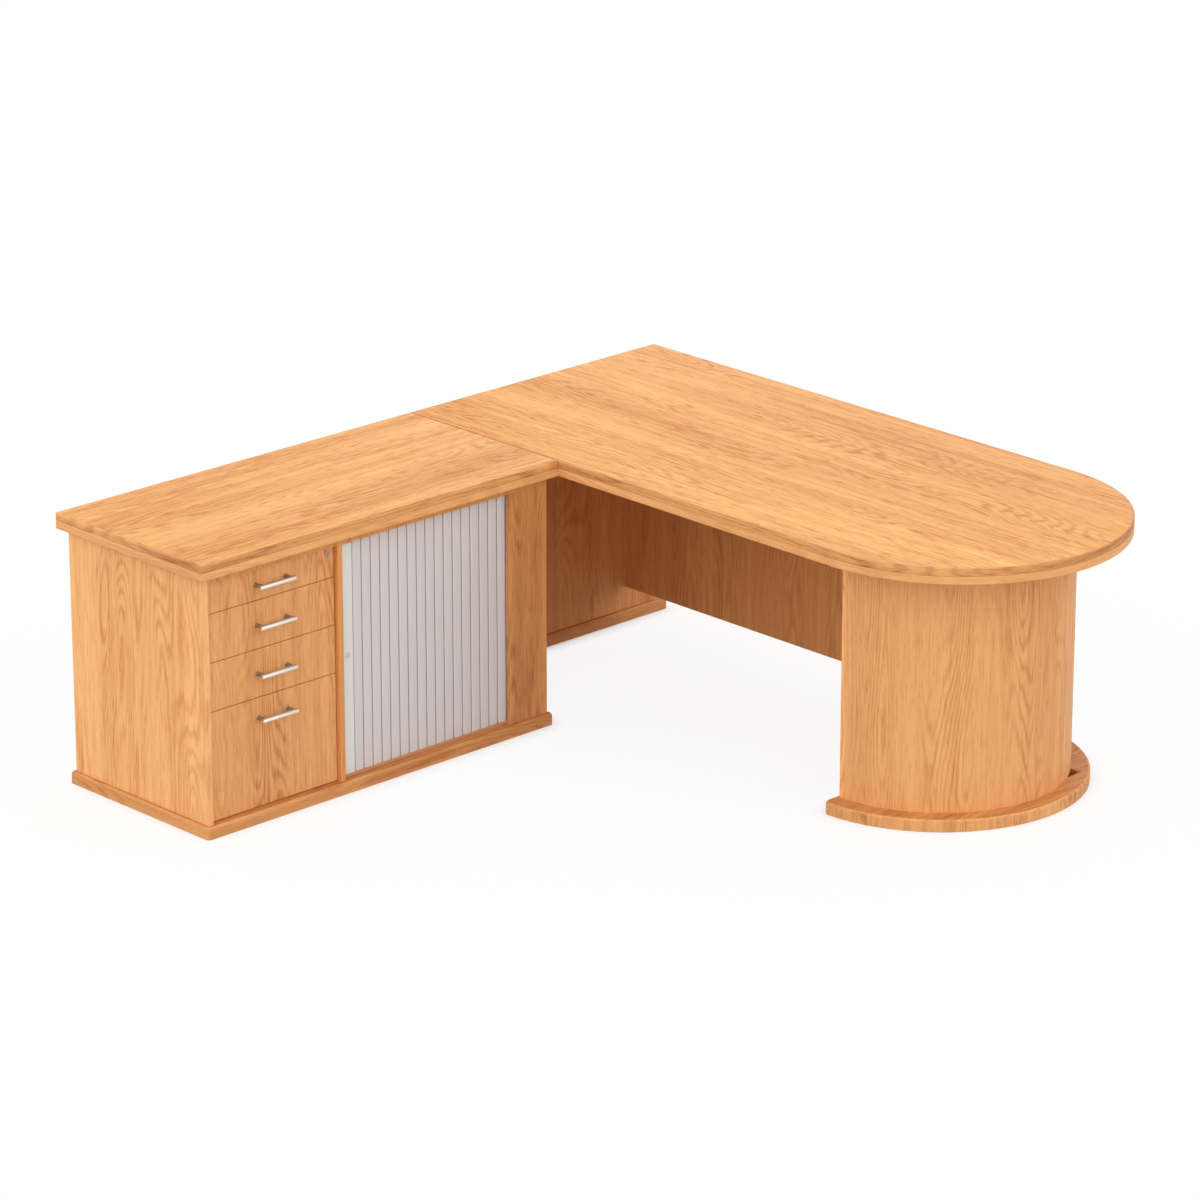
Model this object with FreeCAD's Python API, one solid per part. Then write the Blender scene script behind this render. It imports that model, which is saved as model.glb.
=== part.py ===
import FreeCAD, Part
import os

from FreeCAD import Vector

# L-shaped office desk, in millimetres: a main worktop with a rounded end on a curved leg and a
# panel leg, and a storage return with drawers and a horizontal roller shutter.
# X runs along the main worktop towards its rounded end, Y from the user's side to the visitor's
# side, Z up. The origin is on the floor, under the middle of the two worktops.

# Worktops
desk_height = 730.0
top_board = 22.0
top_edge_round = 3.0
top_joint_chamfer = 1.5
main_length = 2000.0
main_depth = 900.0
return_length = 1200.0
return_depth = 570.0

# Boards and plinths
panel_board = 16.0
panel_edge_round = 1.0
plinth_height = 32.0
plinth_lip = 12.0
plinth_chamfer = 5.0
plinth_corner = 10.0

# Main desk legs and modesty panel
leg_depth = 700.0
gable_inset = 91.0
gable_plinth_reach = 45.0
gable_plinth_corner = 15.0
tip_overhang = 154.0
curved_board = 12.0
former_clearance = 0.3
d_plinth_reach = 50.0
d_plinth_corner = 22.0
d_plinth_inner_board = 56.0
d_plinth_gap_rim = 22.0
d_plinth_near_board = 232.0
d_plinth_far_board = 178.0
modesty_setback = 204.0
modesty_floor_gap = 102.0

# Return cabinet
cabinet_overhang = 22.0
cabinet_top_board = 18.0
drawer_bay = 422.0
return_plinth_width = 70.0
filler_width = 113.0

# Drawer fronts and boxes
front_recess = 13.0
front_gap = 2.0
top_front = 83.0
middle_front = 126.5
drawer_board = 12.0
drawer_base_board = 4.0
base_groove_depth = 5.0
base_groove_rise = 8.0
drawer_box_length = 450.0
drawer_box_rise = 20.0
drawer_box_drop = 20.0

# Drawer runners
runner_space = 13.0
runner_length = 450.0
runner_height = 32.0
runner_sheet = 1.2
runner_play = 0.3
runner_depth = 9.0
runner_rise = 20.0
runner_back_gap = 20.0

# Bar handles
handle_bar = 12.0
handle_bar_length = 116.0
handle_post = 9.0
handle_post_spacing = 96.0
handle_standoff = 28.0
file_handle_drop = 52.0

# Cam locks
lock_body = 16.0
lock_proud = 1.5
lock_plug = 10.0
lock_plug_play = 0.1
lock_hole_play = 0.2
lock_behind_front = 14.0
lock_behind_stile = 6.0
lock_cam_width = 10.0
lock_cam_thick = 3.0
lock_cam_reach = 16.0
lock_cam_gap = 0.3
key_slot_width = 1.2
key_slot_height = 6.0
key_slot_depth = 3.0
drawer_lock_drop = 18.4
drawer_lock_inset = 21.0
lock_notch_length = 30.0
lock_notch_margin = 8.0
shutter_lock_rise = 360.0
shutter_lock_inset = 24.0

# Roller shutter
slat_thick = 8.0
slat_pitch = 31.0
slat_gap = 2.0
slat_chamfer = 0.6
hook_reach = 5.4
hook_neck = 1.2
hook_lip = 1.5
hook_catch = 1.8
hook_play = 0.5
track_wall = 2.0
track_base = 2.0
track_lip = 5.0
track_play = 0.5
track_radius = 60.0
track_back_gap = 20.0
filler_clearance = 0.5
slat_end_gap = 0.3
stile_gap = 2.0
stile_width = 42.0
stile_proud = 4.0
stile_back = 2.0
stile_end_gap = 1.0
stile_round = 2.0
finger_groove = 6.0
finger_groove_web = 4.0

# Cupboard inside
liner_gap = 0.5
bottom_gap = 1.5
bay_bottom_gap = 2.0
shelf_gap = 1.0
shelf_rise = 350.0
shelf_setback = 14.0
shelf_back_gap = 4.0
shelf_clip_leg = 12.0
shelf_clip_sheet = 1.5
shelf_clip_width = 16.0
shelf_clip_inset = 60.0

# Fittings that hold the worktops
bracket_leg = 40.0
bracket_sheet = 2.5
bracket_width = 50.0
bracket_end_inset = 150.0
bracket_corner_gap = 5.0
joining_plate_length = 100.0
joining_plate_width = 60.0
joining_plate_sheet = 3.0
joining_plate_inset = 60.0
joining_plate_gap = 2.0

# Places that follow from the sizes
left = -main_length / 2
right = left + main_length
near = -(return_length + main_depth) / 2
seam = near + return_length
far = seam + main_depth
underside = desk_height - 2 * top_board

leg_middle = (seam + far) / 2
leg_near = leg_middle - leg_depth / 2
leg_far = leg_middle + leg_depth / 2
gable_outer = left + gable_inset
gable_inner = gable_outer + panel_board
leg_radius = leg_depth / 2
leg_face = right - tip_overhang - leg_radius
curve_start = leg_face + panel_board
modesty_far = far - modesty_setback
modesty_near = modesty_far - panel_board

cabinet_back = left + cabinet_overhang
cabinet_front = left + return_depth - cabinet_overhang
cabinet_head = underside - cabinet_top_board
inside_back = cabinet_back + panel_board
outer_end = near + cabinet_overhang
inner_end = seam - cabinet_overhang
bay_near = outer_end + panel_board
bay_far = bay_near + drawer_bay
cupboard_near = bay_far + panel_board
cupboard_far = inner_end - panel_board
filler_near = cupboard_far - filler_width

front_face = cabinet_front - front_recess
front_back = front_face - panel_board
drawer_near = bay_near + runner_space
drawer_far = bay_far - runner_space
drawer_end = front_back - drawer_box_length

track_half = slat_thick / 2 + track_play + track_wall
curtain_x = cabinet_front - panel_board - filler_clearance - track_half
curtain_y = cupboard_far - track_half
bend_start = curtain_y - track_radius
bend_x = curtain_x - track_radius
track_end = inside_back + track_back_gap
slat_bottom = plinth_height + track_base + slat_end_gap
slat_top = cabinet_head - track_base - slat_end_gap
slat_width = slat_pitch - slat_gap
stile_near = cupboard_near + stile_gap
stile_far = stile_near + stile_width
slat_start = stile_far + finger_groove
slat_count = int((bend_start - slat_start) // slat_pitch)
stile_face = curtain_x + slat_thick / 2 + stile_proud
stile_rear = curtain_x - slat_thick / 2 - stile_back

liner_far = curtain_y - track_half - liner_gap
liner_near = liner_far - panel_board
liner_front = bend_x - slat_thick
cupboard_front = curtain_x - track_half - bottom_gap
cupboard_floor = plinth_height + panel_board

drawer_lock_y = bay_far - front_gap - drawer_lock_inset
drawer_lock_z = cabinet_head - front_gap - drawer_lock_drop
drawer_lock_rear = front_back - lock_behind_front
shutter_lock_y = stile_near + shutter_lock_inset
shutter_lock_rear = stile_rear - lock_behind_stile

tiny = 1e-6


def block(x0, x1, y0, y1, z0, z1):
    """A rectangular board between two corners."""
    return Part.makeBox(x1 - x0, y1 - y0, z1 - z0, Vector(x0, y0, z0))


def prism(edges, z0, z1):
    """A solid with the closed outline that the edges make, from z0 up to z1."""
    face = Part.Face(Part.Wire(edges))
    face.translate(Vector(0, 0, z0))
    return face.extrude(Vector(0, 0, z1 - z0))


def line(start, end):
    """A straight edge in the ground plane."""
    return Part.LineSegment(Vector(*start, 0), Vector(*end, 0)).toShape()


def arc(start, middle, end):
    """A round edge through three points in the ground plane."""
    return Part.Arc(Vector(*start, 0), Vector(*middle, 0), Vector(*end, 0)).toShape()


def polygon(points):
    """The straight edges of a closed outline."""
    return [line(a, b) for a, b in zip(points, points[1:] + points[:1])]


def edges_at(shape, **places):
    """The edges that lie wholly at the given coordinates, such as z=0."""

    def lies_there(edge):
        middle = edge.valueAt((edge.FirstParameter + edge.LastParameter) / 2)
        points = [vertex.Point for vertex in edge.Vertexes] + [middle]
        return all(abs(getattr(p, axis) - at) < tiny for p in points for axis, at in places.items())

    return [edge for edge in shape.Edges if lies_there(edge)]


def upright_edges(shape):
    """The straight edges that stand upright."""
    return [
        edge
        for edge in shape.Edges
        if len(edge.Vertexes) == 2
        and (edge.Vertexes[0].Point - edge.Vertexes[1].Point).cross(Vector(0, 0, 1)).Length < tiny
    ]


def eased_panel(x0, x1, y0, y1, z0, z1):
    """A board whose upright front edges are eased."""
    board = block(x0, x1, y0, y1, z0, z1)
    front = edges_at(board, x=x1, y=y0) + edges_at(board, x=x1, y=y1)
    return board.makeFillet(panel_edge_round, front)


def worktop_layer(board, outer, joint):
    """A worktop layer: rounded above, chamfered below and at the joint of the two layers."""
    rim = edges_at(board, z=outer)
    if outer > joint:
        board = board.makeFillet(top_edge_round, rim)
    else:
        board = board.makeChamfer(top_edge_round, rim)
    return board.makeChamfer(top_joint_chamfer, edges_at(board, z=joint))


def main_top(outer, joint):
    """One layer of the main worktop: straight sides and a half-round end."""
    turn = right - main_depth / 2
    outline = [
        line((left, seam), (turn, seam)),
        arc((turn, seam), (right, leg_middle), (turn, far)),
        line((turn, far), (left, far)),
        line((left, far), (left, seam)),
    ]
    return worktop_layer(prism(outline, *sorted((outer, joint))), outer, joint)


def return_top(outer, joint):
    """One layer of the return worktop."""
    board = block(left, left + return_depth, near, seam, *sorted((outer, joint)))
    return worktop_layer(board, outer, joint)


def eased_plinth(plinth):
    """A plinth with its upper edge chamfered."""
    return plinth.makeChamfer(plinth_chamfer, edges_at(plinth, z=plinth_height))


def gable_plinth():
    """The foot board under the panel leg, with rounded corners."""
    foot = block(
        gable_outer - plinth_lip,
        gable_inner + plinth_lip,
        leg_near - gable_plinth_reach,
        leg_far + gable_plinth_reach,
        0,
        plinth_height,
    )
    return eased_plinth(foot.makeFillet(gable_plinth_corner, upright_edges(foot)))


def curved_panel():
    """The bent panel of the rounded leg, which closes on the flat inner panel."""
    centre = Vector(leg_face, leg_middle, plinth_height)
    height = underside - plinth_height
    outside = Part.makeCylinder(leg_radius, height, centre)
    inside = Part.makeCylinder(leg_radius - curved_board, height, centre)
    half = block(curve_start, right, seam, far, 0, desk_height)
    return outside.cut(inside).common(half)


def leg_formers():
    """The half-round boards inside the rounded leg, at its foot and its head."""
    radius = leg_radius - curved_board - former_clearance
    half = block(curve_start, right, seam, far, 0, desk_height)
    levels = (plinth_height, underside - panel_board)
    discs = [Part.makeCylinder(radius, panel_board, Vector(leg_face, leg_middle, z)) for z in levels]
    return [disc.common(half) for disc in discs]


def d_plinth():
    """The half-round foot of the rounded leg: boards round a rectangular gap."""
    reach = leg_radius + d_plinth_reach
    inner = leg_face - plinth_lip
    low, high = leg_middle - reach, leg_middle + reach
    outline = [
        line((inner, low), (leg_face, low)),
        arc((leg_face, low), (leg_face + reach, leg_middle), (leg_face, high)),
        line((leg_face, high), (inner, high)),
        line((inner, high), (inner, low)),
    ]
    foot = prism(outline, 0, plinth_height)
    corners = edges_at(foot, x=inner, y=low) + edges_at(foot, x=inner, y=high)
    foot = eased_plinth(foot.makeFillet(d_plinth_corner, corners))
    gap_y = (low + d_plinth_near_board, high - d_plinth_far_board)
    corner_reach = max(leg_middle - gap_y[0], gap_y[1] - leg_middle)
    gap_depth = ((reach - d_plinth_gap_rim) ** 2 - corner_reach**2) ** 0.5
    gap_x = (inner + d_plinth_inner_board, leg_face + gap_depth)
    spaces = [
        block(inner, right, low, gap_y[0], 0, plinth_height),
        block(inner, right, gap_y[1], high, 0, plinth_height),
        block(inner, gap_x[0], gap_y[0], gap_y[1], 0, plinth_height),
        block(gap_x[1], right, gap_y[0], gap_y[1], 0, plinth_height),
    ]
    return [foot.common(space) for space in spaces]


def return_plinth_boards():
    """The four mitred boards of the cabinet's foot, by name."""
    x0, x1 = cabinet_back - plinth_lip, cabinet_front + plinth_lip
    y0, y1 = outer_end - plinth_lip, inner_end + plinth_lip
    w = return_plinth_width
    ring = block(x0, x1, y0, y1, 0, plinth_height)
    ring = eased_plinth(ring.makeFillet(plinth_corner, upright_edges(ring)))
    ring = ring.cut(block(x0 + w, x1 - w, y0 + w, y1 - w, 0, plinth_height))
    sides = {
        "return_plinth_front": [(x1, y0), (x1, y1), (x1 - w, y1 - w), (x1 - w, y0 + w)],
        "return_plinth_back": [(x0, y1), (x0, y0), (x0 + w, y0 + w), (x0 + w, y1 - w)],
        "return_plinth_outer_end": [(x0, y0), (x1, y0), (x1 - w, y0 + w), (x0 + w, y0 + w)],
        "return_plinth_inner_end": [(x1, y1), (x0, y1), (x0 + w, y1 - w), (x1 - w, y1 - w)],
    }
    return {
        name: ring.common(prism(polygon(points), 0, plinth_height)) for name, points in sides.items()
    }


def angle_bracket(place, turn, leg, sheet, width):
    """A sheet angle with its corner at a place: one leg hangs down, the other reaches out level."""
    half = width / 2
    upright = block(0, sheet, -half, half, -leg, 0)
    level = block(0, leg, -half, half, -sheet, 0)
    angle = upright.fuse(level).removeSplitter()
    angle.rotate(Vector(0, 0, 0), Vector(0, 0, 1), turn)
    angle.translate(place)
    return angle


def top_brackets():
    """The angle brackets that hold the main worktop to its legs and the modesty panel."""
    places = []
    corner_y = modesty_near - bracket_corner_gap - bracket_width / 2
    for y in (leg_near + bracket_end_inset, corner_y):
        places.append((Vector(gable_inner, y, underside), 0))
        places.append((Vector(leg_face, y, underside), 180))
    for x in (left + return_depth, leg_face - bracket_end_inset):
        places.append((Vector(x, modesty_near, underside), -90))
    return [angle_bracket(*place, bracket_leg, bracket_sheet, bracket_width) for place in places]


def shelf_clips():
    """The small angles that carry the shelf at both sides."""
    clips = []
    for x in (inside_back + shelf_clip_inset, liner_front - shelf_clip_inset):
        for y, turn in ((cupboard_near, 90), (liner_near, -90)):
            place = Vector(x, y, shelf_rise)
            clips.append(angle_bracket(place, turn, shelf_clip_leg, shelf_clip_sheet, shelf_clip_width))
    return clips


def joining_plates():
    """The flat plates under the seam between the two worktops."""
    low = underside - joining_plate_sheet
    y0 = inner_end + joining_plate_gap
    starts = (
        gable_inner + joining_plate_inset,
        left + return_depth - joining_plate_inset - joining_plate_length,
    )
    return [
        block(x, x + joining_plate_length, y0, y0 + joining_plate_width, low, underside) for x in starts
    ]


def cupboard_bottom():
    """The cupboard's floor, with its corner rounded to lie inside the curtain's bend."""
    board = block(inside_back, cupboard_front, cupboard_near, liner_far, plinth_height, cupboard_floor)
    corner = edges_at(board, x=cupboard_front, y=liner_far)
    return board.makeFillet(track_radius - track_half - bottom_gap, corner)


def shelf():
    """The cupboard shelf, loose on its clips."""
    return block(
        inside_back + shelf_back_gap,
        cupboard_front - shelf_setback,
        cupboard_near + shelf_gap,
        liner_near - shelf_gap,
        shelf_rise,
        shelf_rise + panel_board,
    )


def curtain_strip(inner, outer, z0, z1):
    """A band along the curtain's path, between two offsets from its middle plane."""

    def path(offset):
        """The offset path's start, bend start, bend middle, bend end and end."""
        radius = track_radius + offset
        lean = radius * 0.5**0.5
        return [
            (curtain_x + offset, cupboard_near),
            (curtain_x + offset, bend_start),
            (bend_x + lean, bend_start + lean),
            (bend_x, curtain_y + offset),
            (track_end, curtain_y + offset),
        ]

    a, b = path(inner), path(outer)
    outline = [
        line(a[0], a[1]),
        arc(a[1], a[2], a[3]),
        line(a[3], a[4]),
        line(a[4], b[4]),
        line(b[4], b[3]),
        arc(b[3], b[2], b[1]),
        line(b[1], b[0]),
        line(b[0], a[0]),
    ]
    return prism(outline, z0, z1)


def shutter_track(seat, base, lip):
    """A grooved track from the level it is seated on, past its base, to the level of its lips."""
    groove = track_half - track_wall
    whole = curtain_strip(-track_half, track_half, *sorted((seat, lip)))
    return whole.cut(curtain_strip(-groove, groove, *sorted((base, lip))))


def hook(y):
    """The hooked tongue on the far side of a slat: a neck and a lip that catches at the back."""
    x0, x1 = curtain_x - hook_neck / 2, curtain_x + hook_neck / 2
    tip = y + hook_reach
    neck = block(x0, x1, y, tip, slat_bottom, slat_top)
    return neck.fuse(block(x0 - hook_catch, x1, tip - hook_lip, tip, slat_bottom, slat_top))


def hook_slot():
    """The slot in the first slat's near side, with room round the hook before it."""
    x0, x1 = curtain_x - hook_neck / 2 - hook_play, curtain_x + hook_neck / 2 + hook_play
    tip = slat_start - slat_gap + hook_reach
    pocket = tip - hook_lip - hook_play
    mouth = block(x0, x1, slat_start, pocket, slat_bottom, slat_top)
    return mouth.fuse(block(x0 - hook_catch, x1, pocket, tip + hook_play, slat_bottom, slat_top))


def first_slat():
    """One shutter slat: a chamfered face, a slot on its near side and a hook on its far side."""
    face, rear = curtain_x + slat_thick / 2, curtain_x - slat_thick / 2
    slat_end = slat_start + slat_width
    slat = block(rear, face, slat_start, slat_end, slat_bottom, slat_top)
    edges = edges_at(slat, x=face, y=slat_start) + edges_at(slat, x=face, y=slat_end)
    slat = slat.makeChamfer(slat_chamfer, edges)
    return slat.cut(hook_slot()).fuse(hook(slat_end)).removeSplitter()


def shutter_slats():
    """The curtain: equal slats, each hooked into the one before it."""
    pattern = first_slat()
    slats = []
    for number in range(slat_count):
        slat = pattern.copy()
        slat.translate(Vector(0, number * slat_pitch, 0))
        slats.append(slat)
    return slats


def lock_hole(rear, face, y, z):
    """The round hole that a lock's housing goes through."""
    radius = lock_body / 2 + lock_hole_play
    return Part.makeCylinder(radius, face - rear, Vector(rear, y, z), Vector(1, 0, 0))


def shutter_stile():
    """The leading stile: a rounded grip, tongues in the tracks and the hook for the first slat."""
    grip_low = plinth_height + track_base + track_lip + stile_end_gap
    grip_high = cabinet_head - track_base - track_lip - stile_end_gap
    grip = block(stile_rear, stile_face, stile_near, stile_far, grip_low, grip_high)
    upright = edges_at(grip, x=stile_face, y=stile_near) + edges_at(grip, x=stile_face, y=stile_far)
    grip = grip.makeFillet(stile_round, upright)
    face, rear = curtain_x + slat_thick / 2, curtain_x - slat_thick / 2
    tongue = block(rear, face, stile_near, stile_far, slat_bottom, slat_top)
    web_half = finger_groove_web / 2
    web_end = slat_start - slat_gap
    web = block(curtain_x - web_half, curtain_x + web_half, stile_far, web_end, slat_bottom, slat_top)
    stile = grip.fuse([tongue, web, hook(web_end)]).removeSplitter()
    return stile.cut(lock_hole(stile_rear, stile_face, shutter_lock_y, shutter_lock_rise))


def lock_barrel(face, rear, y, z):
    """A lock's round housing, a little proud of the face that it is in."""
    ahead = Vector(1, 0, 0)
    start = Vector(rear, y, z)
    length = face + lock_proud - rear
    body = Part.makeCylinder(lock_body / 2, length, start, ahead)
    return body.cut(Part.makeCylinder(lock_plug / 2 + lock_plug_play, length, start, ahead))


def lock_plug_and_cam(face, rear, y, z):
    """A lock's turning plug, with a key slot in front and an upright cam behind the housing."""
    ahead = Vector(1, 0, 0)
    cam_rear = rear - lock_cam_gap - lock_cam_thick
    front = face + lock_proud
    plug = Part.makeCylinder(lock_plug / 2, front - cam_rear, Vector(cam_rear, y, z), ahead)
    half = lock_cam_width / 2
    cam = block(cam_rear, cam_rear + lock_cam_thick, y - half, y + half, z, z + lock_cam_reach - half)
    tip = Part.makeCylinder(half, lock_cam_thick, Vector(cam_rear, y, z + lock_cam_reach - half), ahead)
    slot = block(
        front - key_slot_depth,
        front,
        y - key_slot_width / 2,
        y + key_slot_width / 2,
        z - key_slot_height / 2,
        z + key_slot_height / 2,
    )
    return plug.fuse([cam, tip]).removeSplitter().cut(slot)


def drawer_levels():
    """The lowest and highest level of each drawer front; the file drawer takes what is left."""
    top = cabinet_head - front_gap
    levels = []
    for height in (top_front, middle_front, middle_front):
        levels.append((top - height, top))
        top -= height + front_gap
    levels.append((plinth_height + front_gap, top))
    return levels


def handle_level(number, low, high):
    """The height of a drawer's handle: half-way up, and near the top on the file drawer."""
    if number == len(drawer_levels()):
        return high - file_handle_drop
    return (low + high) / 2


def drawer_front(number, low, high):
    """A drawer front with eased edges; the top one has the lock's hole."""
    near_side, far_side = bay_near + front_gap, bay_far - front_gap
    front = block(front_back, front_face, near_side, far_side, low, high)
    front = front.makeFillet(panel_edge_round, edges_at(front, x=front_face))
    if number == 1:
        front = front.cut(lock_hole(front_back, front_face, drawer_lock_y, drawer_lock_z))
    return front


def drawer_walls(number, low, high):
    """A drawer box's two grooved sides and its back."""
    bottom, top = low + drawer_box_rise, high - drawer_box_drop
    groove_low = bottom + base_groove_rise
    groove_high = groove_low + drawer_base_board
    inner_near, inner_far = drawer_near + drawer_board, drawer_far - drawer_board
    groove = block(
        drawer_end,
        front_back,
        inner_near - base_groove_depth,
        inner_far + base_groove_depth,
        groove_low,
        groove_high,
    )
    near_wall = block(drawer_end, front_back, drawer_near, inner_near, bottom, top).cut(groove)
    far_wall = block(drawer_end, front_back, inner_far, drawer_far, bottom, top).cut(groove)
    if number == 1:
        notch_floor = drawer_lock_z - lock_body / 2 - lock_notch_margin
        notch = block(front_back - lock_notch_length, front_back, inner_far, drawer_far, notch_floor, top)
        far_wall = far_wall.cut(notch)
    back = block(drawer_end, drawer_end + drawer_board, inner_near, inner_far, groove_high, top)
    return [near_wall, far_wall, back]


def drawer_base(low):
    """A drawer's base board, held in the grooves of its sides."""
    groove_low = low + drawer_box_rise + base_groove_rise
    reach = drawer_board - base_groove_depth
    return block(
        drawer_end,
        front_back,
        drawer_near + reach,
        drawer_far - reach,
        groove_low,
        groove_low + drawer_base_board,
    )


def drawer_handle(z):
    """A bar handle on two posts, in one piece."""
    middle = (bay_near + bay_far) / 2
    start = Vector(front_face + handle_standoff, middle - handle_bar_length / 2, z)
    bar = Part.makeCylinder(handle_bar / 2, handle_bar_length, start, Vector(0, 1, 0))
    posts = []
    for side in (-1, 1):
        foot = Vector(front_face, middle + side * handle_post_spacing / 2, z)
        posts.append(Part.makeCylinder(handle_post / 2, handle_standoff, foot, Vector(1, 0, 0)))
    return bar.fuse(posts).removeSplitter()


def channel(web, mouth, height, x0, x1, z):
    """A sheet channel along X: its web at one side and its lips reaching to its mouth."""
    side = 1 if mouth > web else -1
    outer = sorted((web, mouth))
    hollow = sorted((web + side * runner_sheet, mouth))
    half = height / 2
    whole = block(x0, x1, *outer, z - half, z + half)
    return whole.cut(block(x0, x1, *hollow, z - half + runner_sheet, z + half - runner_sheet))


def cabinet_runners(levels):
    """The fixed runner channels, a pair for each drawer."""
    start = inside_back + runner_back_gap
    end = start + runner_length
    channels = []
    for low, _ in levels:
        z = low + drawer_box_rise + runner_rise
        for wall, side in ((bay_near, 1), (bay_far, -1)):
            channels.append(channel(wall, wall + side * runner_depth, runner_height, start, end, z))
    return channels


def drawer_runners(low):
    """A drawer's own runner channels, which slide inside the fixed ones."""
    z = low + drawer_box_rise + runner_rise
    height = runner_height - 2 * runner_sheet - 2 * runner_play
    reach = runner_space - runner_sheet - 2 * runner_play
    return [
        channel(wall, wall + side * reach, height, drawer_end, front_back, z)
        for wall, side in ((drawer_near, -1), (drawer_far, 1))
    ]


def desk_nodes():
    """The worktops, legs and plinths, by name."""
    joint = desk_height - top_board
    nodes = {
        "main_top_upper": [main_top(desk_height, joint)],
        "main_top_lower": [main_top(underside, joint)],
        "return_top_upper": [return_top(desk_height, joint)],
        "return_top_lower": [return_top(underside, joint)],
        "gable_panel": [block(gable_outer, gable_inner, leg_near, leg_far, plinth_height, underside)],
        "gable_plinth": [gable_plinth()],
        "modesty_panel": [
            block(gable_inner, leg_face, modesty_near, modesty_far, modesty_floor_gap, underside)
        ],
        "d_leg_inner_panel": [block(leg_face, curve_start, leg_near, leg_far, plinth_height, underside)],
        "d_leg_curved_panel": [curved_panel()],
        "d_leg_formers": leg_formers(),
        "d_leg_plinth": d_plinth(),
        "top_brackets": top_brackets(),
        "joining_plates": joining_plates(),
    }
    nodes.update({name: [board] for name, board in return_plinth_boards().items()})
    return nodes


def cabinet_nodes():
    """The boards of the return cabinet, by name."""
    depth = (cabinet_back, cabinet_front)
    height = (plinth_height, underside)
    inner_height = (plinth_height, cabinet_head)
    filler_depth = (cabinet_front - panel_board, cabinet_front)
    bay_depth = (inside_back, front_back - bay_bottom_gap)
    return {
        "outer_end_panel": [eased_panel(*depth, outer_end, bay_near, *height)],
        "inner_end_panel": [eased_panel(*depth, cupboard_far, inner_end, *height)],
        "cabinet_top": [block(*depth, bay_near, cupboard_far, cabinet_head, underside)],
        "back_panel": [block(cabinet_back, inside_back, bay_near, cupboard_far, *inner_height)],
        "divider_panel": [eased_panel(inside_back, cabinet_front, bay_far, cupboard_near, *inner_height)],
        "filler_panel": [eased_panel(*filler_depth, filler_near, cupboard_far, *inner_height)],
        "drawer_bay_bottom": [block(*bay_depth, bay_near, bay_far, plinth_height, cupboard_floor)],
        "cupboard_bottom": [cupboard_bottom()],
        "cupboard_liner": [
            block(inside_back, liner_front, liner_near, liner_far, cupboard_floor, cabinet_head)
        ],
        "cupboard_shelf": [shelf()],
        "shelf_clips": shelf_clips(),
    }


def shutter_nodes():
    """The roller shutter, its tracks and its lock, by name."""
    foot, head = plinth_height + track_base, cabinet_head - track_base
    lock = (stile_face, shutter_lock_rear, shutter_lock_y, shutter_lock_rise)
    return {
        "shutter_bottom_track": [shutter_track(plinth_height, foot, foot + track_lip)],
        "shutter_top_track": [shutter_track(cabinet_head, head, head - track_lip)],
        "shutter_slats": shutter_slats(),
        "shutter_stile": [shutter_stile()],
        "shutter_lock_barrel": [lock_barrel(*lock)],
        "shutter_lock_plug": [lock_plug_and_cam(*lock)],
    }


def drawer_nodes():
    """The drawers, their runners and the drawer lock, by name."""
    levels = drawer_levels()
    lock = (front_face, drawer_lock_rear, drawer_lock_y, drawer_lock_z)
    nodes = {
        "cabinet_runners": cabinet_runners(levels),
        "drawer_lock_barrel": [lock_barrel(*lock)],
        "drawer_lock_plug": [lock_plug_and_cam(*lock)],
    }
    for number, (low, high) in enumerate(levels, 1):
        nodes[f"drawer_{number}_front"] = [drawer_front(number, low, high)]
        nodes[f"drawer_{number}_walls"] = drawer_walls(number, low, high)
        nodes[f"drawer_{number}_base"] = [drawer_base(low)]
        nodes[f"drawer_{number}_handle"] = [drawer_handle(handle_level(number, low, high))]
        nodes[f"drawer_{number}_runners"] = drawer_runners(low)
    return nodes


os.makedirs("parts", exist_ok=True)
for pieces in (desk_nodes(), cabinet_nodes(), shutter_nodes(), drawer_nodes()):
    for node, solids in pieces.items():
        shape = solids[0] if len(solids) == 1 else Part.makeCompound(solids)
        shape.exportStep(f"parts/{node}.step")
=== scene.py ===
import logging
import math
from dataclasses import dataclass, replace
from enum import Enum
from fnmatch import fnmatchcase

import bmesh
import bpy
import numpy as np
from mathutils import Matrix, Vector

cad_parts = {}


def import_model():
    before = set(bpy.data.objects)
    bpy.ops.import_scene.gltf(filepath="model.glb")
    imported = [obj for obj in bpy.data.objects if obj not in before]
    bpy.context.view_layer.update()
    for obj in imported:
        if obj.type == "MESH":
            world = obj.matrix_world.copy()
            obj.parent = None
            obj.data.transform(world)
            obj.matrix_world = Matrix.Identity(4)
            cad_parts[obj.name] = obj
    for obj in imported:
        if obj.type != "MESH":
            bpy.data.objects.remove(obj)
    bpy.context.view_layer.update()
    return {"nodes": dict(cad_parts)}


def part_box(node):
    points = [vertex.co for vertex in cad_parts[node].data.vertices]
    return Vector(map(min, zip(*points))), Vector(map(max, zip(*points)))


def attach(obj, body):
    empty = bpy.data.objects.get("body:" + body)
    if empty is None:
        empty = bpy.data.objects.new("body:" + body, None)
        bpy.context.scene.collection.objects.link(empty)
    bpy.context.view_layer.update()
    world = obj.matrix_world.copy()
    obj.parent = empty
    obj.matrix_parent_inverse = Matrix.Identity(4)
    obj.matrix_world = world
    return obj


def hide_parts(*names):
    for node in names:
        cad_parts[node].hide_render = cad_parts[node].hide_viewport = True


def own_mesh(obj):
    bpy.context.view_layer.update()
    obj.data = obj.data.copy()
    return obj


# Looks of an L-shaped office desk: oak-grain worktops, panels and plinths, a drawer stack with bar
# handles and a grey roller shutter. Lengths are in metres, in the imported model's own frame.

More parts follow.
